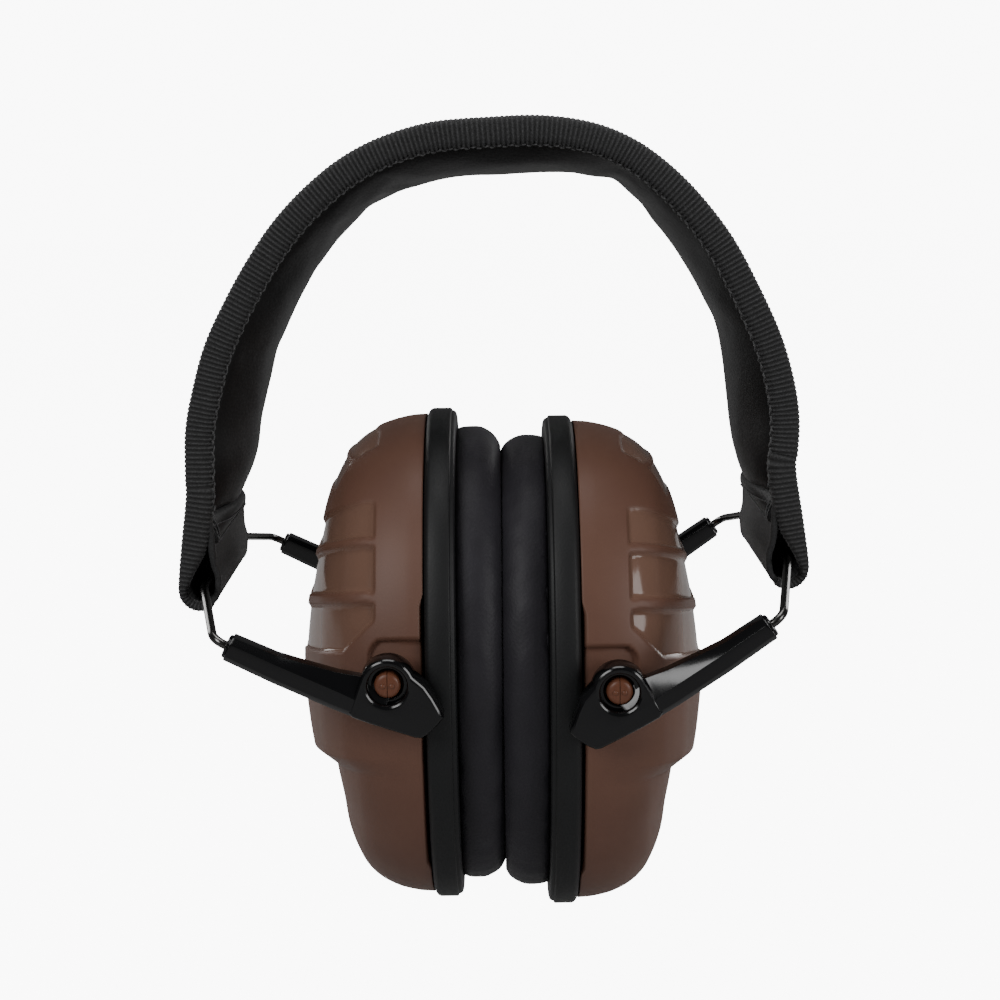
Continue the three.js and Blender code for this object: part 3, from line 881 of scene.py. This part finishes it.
def pivot_arm(side, where, out):
    """One arm: a faceted bar, a knuckle with the hub's hole, a washer seat and a collar round the wire."""
    matrix = FACTS[side]["arm"]
    stations = [-1.5, 2, 5, 8, 11, 14, 17, 20, 23, 26, 29, 31.0, ARM_END]
    rings = []
    for a, b in zip(stations, stations[1:]):
        rings += [bar_section(a + (b - a) * t / 3, out) for t in range(3)]
    rings.append(bar_section(stations[-1], out))
    bar = loft(rings)
    plate = curve_solid("knuckle", [knuckle_outline(), circle(3.85, 48)], ARM_HALF, 0.95)
    knuckle = ([Vector((p.x, out * ARM_Y + p.z, p.y)) for p in plate[0]], plate[1])
    washer = curve_solid("washer", [circle(4.2, 48), circle(3.0, 48)], 1.9, 0.3)
    seat = ([Vector((p.x, out * (ARM_Y - 0.9) + p.z, p.y)) for p in washer[0]], washer[1])
    mouth = []
    for radius, u in [(2.35, 31.2), (2.35, 31.55), (1.9, 31.75), (1.25, 31.6), (1.25, 28.0), (1.6, 28.0)]:
        mouth.append([Vector((u, out * ARM_Y + radius * c, WIRE_V + radius * s)) for c, s in circle(1, 28)])
    collar = loft(mouth)
    arm = piece(f"{side}_{where}_moulded_arm", *merge([bar, knuckle]), GLOSS, f"{side}_arms", "black_gloss",
                (f"{side}_{where}_arm",), matrix)
    bevel = arm.modifiers.new("edges", "BEVEL")
    bevel.width = 0.22 * MM
    bevel.segments = 3
    bevel.angle_limit = math.radians(24)
    apply_modifiers(arm)
    sharpen(arm, 22)
    ring = piece(f"{side}_{where}_hub_seat", *merge([seat, collar]), GLOSS, f"{side}_arms", "black_gloss",
                 (), matrix)
    sharpen(ring, 40)


def pivot_pin(side, where, out):
    """Split snap pin: a collar, a shank and a domed head with a slit and a small nub on each half."""
    profile = [(0.0, 35.4), (2.6, 35.4), (2.6, 40.7), (4.4, 40.7), (4.5, 41.0), (4.4, 42.3), (2.6, 42.4),
               (2.6, 46.9), (2.5, 47.4), (2.15, 47.75), (1.5, 47.9), (0.0, 47.95)]
    half_slit = 0.06
    parts = []
    for half in (-1, 1):
        rings = []
        for radius, y in profile:
            reach = math.sqrt(max(radius ** 2 - half_slit ** 2, 0.0))
            ring = [(half * half_slit, reach)]
            ring += [(half * (half_slit + max(radius - half_slit, 0) * math.sin(math.pi * k / 24)),
                      reach * math.cos(math.pi * k / 24)) for k in range(1, 24)]
            ring.append((half * half_slit, -reach))
            rings.append([Vector((x, out * y, z)) for x, z in ring])
        parts.append(loft(rings))
        nub = [[Vector((half * 0.9 + r * c, out * y, r * s)) for c, s in circle(1, 16)]
               for r, y in [(0.5, 47.6), (0.46, 48.15), (0.25, 48.28), (0.02, 48.3)]]
        parts.append(loft(nub))
    pin = piece(f"{side}_{where}_split_pin", *merge(parts), PIN, f"{side}_cup", "brown_pin",
                (f"{side}_{where}_pivot_pin",), FACTS[side]["cup"])
    sharpen(pin, 35)


# ------------------------------ ear cups

def cup_matrix(side):
    """The cup's own frame: origin at the centre of the plate's outer face, depth outward along +X."""
    return FACTS[side]["cup"] @ Matrix.Translation(Vector((-PIVOT_H, 0, -PIVOT_UP)) * MM)


def window_mask(y, z, h):
    """1 in a polished window, 0 on the satin surface. The rows dip at the middle of the outer face."""
    if h < WINDOW_START - 1:
        return 0.0
    edge = NARROW * math.sqrt(max(WINDOW_RIM ** 2 - z ** 2, 60.0))
    level = z + WINDOW_DIP * max(0.0, 1 - abs(y) / edge)
    soft = WINDOW_SOFT
    started = smooth_step(h - WINDOW_START, soft)
    value = 0.0
    for low, high in WINDOWS:
        m = smooth_step(level - low, soft) * smooth_step(high - level, soft) * started
        if (low, high) == WINDOWS[-1]:
            m *= smooth_step((h - WINDOW_START) + WINDOW_CUT_SLOPE * (level - low) - WINDOW_CUT, 0.9)
        value = max(value, m)
    for low, high in TOP_WINDOWS:
        m = smooth_step(z - low, soft) * smooth_step(high - z, soft)
        m *= started * smooth_step(TOP_WINDOW_HALF - abs(y), soft)
        value = max(value, m)
    return value


def pocket_mask(z, h):
    """The rounded pocket round each pivot, open toward the rim."""
    dz, dh = abs(z - PIVOT_UP) - POCKET_HALF, h - PIVOT_H - 0.6
    outside = math.hypot(max(dz, 0), max(dh, 0))
    return smooth_step(POCKET_ROUND - outside, 0.6)


def lowered(y, z, h, rise):
    """Depth at y and z; below the slanting step it is less, with a squarer corner. Rise lifts the step."""
    below = min(max((STEP_HIGH + rise + STEP_TILT * abs(y) - z) / STEP_RUN, 0.0), 1.0)
    corner = STEP_CORNER * smooth_step(-z - 33, 12) * smooth_step(h - 5, 7)
    return h + below * (corner - (1 - STEP_SCALE) * h)


def shell_point(r, h, a):
    """Surface point with the lower step, the windows, the pivot pockets and the lip's relief."""
    c, s = math.cos(a), math.sin(a)
    y, z = NARROW * r * c, r * s
    z -= FACE_SAG * smooth_step(h - 23.5, 7)
    normal = Vector((0.25 + 0.9 * smooth_step(h - 17, 12), c, NARROW * s)).normalized()
    glass = window_mask(y, z, h)
    h = lowered(y, z, h, 0.0)
    pocket = pocket_mask(z, h) * smooth_step(abs(c) - 0.7, 0.2)
    lip = LIP_GAP * smooth_step(z - LIP_LOW, 3) * smooth_step(LIP_HIGH - z, 3) * smooth_step(1.5 - h, 2.4)
    shallow = 1 - 0.45 * smooth_step(z - 38.5, 2.0)
    p = Vector((h + lip, y, z)) - normal * (WINDOW_DEPTH * shallow * glass)
    p.y -= math.copysign(POCKET_DEPTH * pocket, c)
    return p, glass


def dense_profile(profile, count):
    """A smooth curve of count points through a profile's points."""
    pts = [Vector((r, h, 0)) for r, h in profile]
    return [(p.x, p.y) for p in spline(pts, count)]


def cup_shell(side):
    """The shell's outside with all its relief, and a plain inside that follows the step."""
    outer = dense_profile(SHELL_PROFILE, 170)
    segments = 520
    wall = 2.6
    verts, mask = [], []
    inner = [(51.8, 0.6), (50.4, 5.0), (46.9, 10.4), (41.4, 14.6),
             (30, 18.6), (18, 21.6), (6, 23.2), (0.0, 23.4)]
    for i in range(segments):
        a = 2 * math.pi * i / segments
        for r, h in outer:
            p, glass = shell_point(max(r, 0.0), h, a)
            verts.append(p)
            mask.append(glass)
        for r, h in inner:
            y, z = NARROW * r * math.cos(a), r * math.sin(a)
            verts.append(Vector((lowered(y, z, h, wall), y, z)))
            mask.append(0.0)
    faces = wrap_faces(segments, len(outer) + len(inner))
    piece(f"{side}_moulded_shell", verts, faces, BROWN, f"{side}_cup", "brown_shell",
          (f"{side}_cup_shell",), cup_matrix(side), ("window", mask))


def rim_plate(side):
    """The black plate: bevelled rims, a fine groove beside the shell and a lip beside the cushion."""
    r, t = PLATE_R, PLATE_THICK
    opening = 35
    profile = [(opening, 0.0), (r - 2.4, 0.0), (r - 2.1, 0.15), (r - 1.4, 0.15), (r - 1.1, 0.0),
               (r - 0.8, -0.1), (r - 0.25, -0.55), (r, -1.1), (r, 1.4 - t), (r - 0.15, 1.1 - t),
               (r - 0.5, 1.0 - t), (r - 0.6, 0.6 - t), (r - 0.9, 0.2 - t), (r - 1.5, -t),
               (opening, -t), (opening, 0.0)]
    plate = piece(f"{side}_textured_plate", *turned(profile, 220), TEXTURED, f"{side}_cup", "black_textured",
                  (f"{side}_rim_plate",), cup_matrix(side))
    bevel = plate.modifiers.new("edges", "BEVEL")
    bevel.width = 0.12 * MM
    bevel.segments = 2
    apply_modifiers(plate)
    sharpen(plate, 35)


def cushion(side):
    """Soft ring cushion, filled out by cloth simulation, flat against the plate and the other cushion."""
    back = -PLATE_THICK - 0.05
    face = -0.05 - PLATE_THICK - CUSHION_THICK
    outer_r = 50.9
    profile = [(33, back), (50.4, back), (outer_r, back - 1.0), (51.0, back - 3.4), (50.2, face + 3.0),
               (48.4, face + 0.9), (45.6, face), (34.6, face), (31.6, face + 1.1), (30.1, face + 3.4),
               (29.8, back - 2.6), (30.8, back - 0.6), (33, back)]
    matrix = cup_matrix(side)
    ring = turned(profile, 96, CUSHION_NARROW)
    pad = piece(f"{side}_soft_cushion", *ring, CUSHION, f"{side}_cup", "leatherette",
                (f"{side}_ear_cushion",), matrix)
    inflate(pad, 2.8, 0.8)
    inverse = matrix.inverted()
    local = [(inverse @ v.co) / MM for v in pad.data.vertices]
    lowest, highest = min(p.x for p in local), max(p.x for p in local)
    # Stretched past both faces and then cut back to them, so that it lies flat there.
    stretch = (back - face + 1.5) / (highest - lowest)
    grow = 1.012
    for v, p in zip(pad.data.vertices, local):
        p.x = face - 0.8 + (p.x - lowest) * stretch
        p.y *= grow
        p.z *= grow
        angle = math.atan2(p.z, p.y / CUSHION_NARROW)
        radius = math.hypot(p.z, p.y / CUSHION_NARROW)
        square = smooth_step(p.x - face - 4.5, 3) * smooth_step(radius - 45.5, 3)
        flush = 1 + square * (outer_r - radius) * 0.8 / radius
        p.y *= flush
        p.z *= flush
        inner = smooth_step(38 - radius, 8)
        pucker = 0.16 * inner * math.sin(angle * 46 + 2 * math.sin(angle * 5))
        p += Vector((-1, 0, 0)) * (pucker + 0.10 * noise.noise(p * 0.12))
        p.x = min(max(p.x, face), back)
        v.co = matrix @ (p * MM)
    adopt(pad, CUSHION, f"{side}_cup")


def cushion_seam(side):
    """Welded piping where the cushion's cover is drawn over its ring, at the outer and inner edge."""
    matrix = cup_matrix(side)
    back_line = -PLATE_THICK - 0.5
    steps = 200
    cord_r = 0.42
    for label, radius, depth in [("outer", 49.3, back_line), ("inner", 31.4, back_line - 0.4)]:
        path = [Vector((depth, CUSHION_NARROW * radius * math.cos(a), radius * math.sin(a)))
                for a in (2 * math.pi * k / steps for k in range(steps))]
        rings = []
        for i, p in enumerate(path):
            tangent = (path[(i + 1) % steps] - path[i - 1]).normalized()
            out = Vector((0, tangent.z, -tangent.y))
            rings.append([p + cord_r * (c * out + s * Vector((1, 0, 0))) for c, s in circle(1, 10)])
        piece(f"{side}_cushion_{label}_piping", *loft(rings, closed=True), CUSHION,
              f"{side}_cup", "leatherette", (), matrix)


def liner(side):
    """Cloth over the foam, dished a little, and the foam behind it, which is turned to fit the shell."""
    matrix = cup_matrix(side)
    inner_face = 2.15
    rows = [(r, 2.4 + 0.35 * math.cos(r * 0.07)) for r in np.linspace(0, LINER_R, 30)]
    rows += [(LINER_R, inner_face), (0, inner_face)]
    verts, faces = turned([(float(r), float(h)) for r, h in rows], 120)
    verts = [Vector(v) + Vector((0.12 * noise.noise(Vector(v) * 0.3), 0, 0)) for v in verts]
    cloth = piece(f"{side}_liner_sheet", verts, faces, LINER, f"{side}_cup", "liner_cloth",
                  (f"{side}_liner_cloth",), matrix)
    profile = [(0, 3.1), (45.4, 3.1), (45, 8.0), (43.2, 10.8), (40.6, 12.8), (34.6, 15.6),
               (22.6, 18.6), (10.6, 19.6), (0, 19.7)]
    body = turned(dense_profile(profile, 40), 90)
    foam = piece(f"{side}_foam_insert", *body, FOAM, f"{side}_cup", "foam",
                 (f"{side}_foam_liner",), matrix)


def finish_cad_node(node, mat):
    """Give a CAD node that is carried over its material."""
    obj = frame["nodes"][node]
    obj.data.materials.clear()
    obj.data.materials.append(mat)


# ------------------------------ stage

def seen_or_lit(tree, lit, seen):
    """A strength that is lit where it lights the object and seen where it is the white background."""
    path = tree.nodes.new("ShaderNodeLightPath")
    strength = tree.nodes.new("ShaderNodeMapRange")
    strength.inputs["To Min"].default_value = lit
    strength.inputs["To Max"].default_value = seen
    tree.links.new(path.outputs["Is Camera Ray"], strength.inputs["Value"])
    return strength.outputs["Result"]


def stage():
    """White floor and world, and five soft lights round the object."""
    low, high = CAD_BOX
    ground = low[2] - OPEN_DROP
    bpy.ops.mesh.primitive_plane_add(size=8, location=(0, 0, ground))
    floor = bpy.context.object
    floor.name = "studio_floor"
    mat, tree, shader = new_material("studio_floor", (0.34, 0.34, 0.34), 0.9)
    shader.inputs["Emission Color"].default_value = (1, 1, 1, 1)
    tree.links.new(seen_or_lit(tree, FLOOR_LIGHT, FLOOR_GLOW), shader.inputs["Emission Strength"])
    floor.data.materials.append(mat)
    world = bpy.data.worlds.new("studio")
    bpy.context.scene.world = world
    world.use_nodes = True
    tree = world.node_tree
    background = tree.nodes["Background"]
    background.inputs["Color"].default_value = (1, 1, 1, 1)
    tree.links.new(seen_or_lit(tree, WORLD_LIGHT, WORLD_BACKDROP), background.inputs["Strength"])
    middle = Vector((0, 0, (low[2] + high[2]) / 2))
    lights = [("key", (-0.55, -0.75, 0.55), 0.35, 5.5), ("fill", (0.75, -0.6, 0.25), 0.3, 3.5),
              ("top", (0.0, 0.1, 0.9), 0.5, 6), ("back_left", (-0.7, 0.6, 0.3), 0.35, 3),
              ("back_right", (0.7, 0.6, 0.3), 0.35, 3)]
    for name, place, size, power in lights:
        data = bpy.data.lights.new(name, "AREA")
        data.shape = "RECTANGLE"
        data.size = size
        data.size_y = size * 1.6
        data.energy = power
        light = link(name, data)
        light.location = middle + Vector(place)
        light.rotation_euler = (middle - light.location).to_track_quat("-Z", "Y").to_euler()


def camera():
    """The camera in front of the object, a little above it."""
    data = bpy.data.cameras.new("camera")
    data.lens = LENS
    data.sensor_width = 36
    data.clip_start = 0.01
    cam = link("camera", data)
    tilt = math.radians(ELEVATION)
    cam.location = LOOK_AT + DISTANCE * Vector((0, -math.cos(tilt), math.sin(tilt)))
    look = (LOOK_AT - cam.location).to_track_quat("-Z", "Y").to_matrix().to_4x4()
    cam.matrix_world = Matrix.Translation(cam.location) @ look @ Matrix.Rotation(math.radians(ROLL), 4, "Z")
    bpy.context.scene.camera = cam


camera()
stage()
headband_pad()
for name, y_sign in [("front_edge_ribbon", -1), ("rear_edge_ribbon", 1)]:
    ribbon(name, y_sign)
    edge_stitching(name.replace("ribbon", "stitching"), y_sign)
finish_cad_node("headband_spring_strip", SPRING)
for side in SIDES:
    loop_strap(side)
    loop_tab(side)
    end_flap(side)
    wire_bail(side)
    for where, world_y in [("front", -1), ("rear", 1)]:
        pivot_arm(side, where, world_y * SIDES[side])
        pivot_pin(side, where, world_y * SIDES[side])
    cup_shell(side)
    rim_plate(side)
    cushion(side)
    cushion_seam(side)
    liner(side)
    finish_cad_node(f"{side}_cushion_snap_ring", TEXTURED)
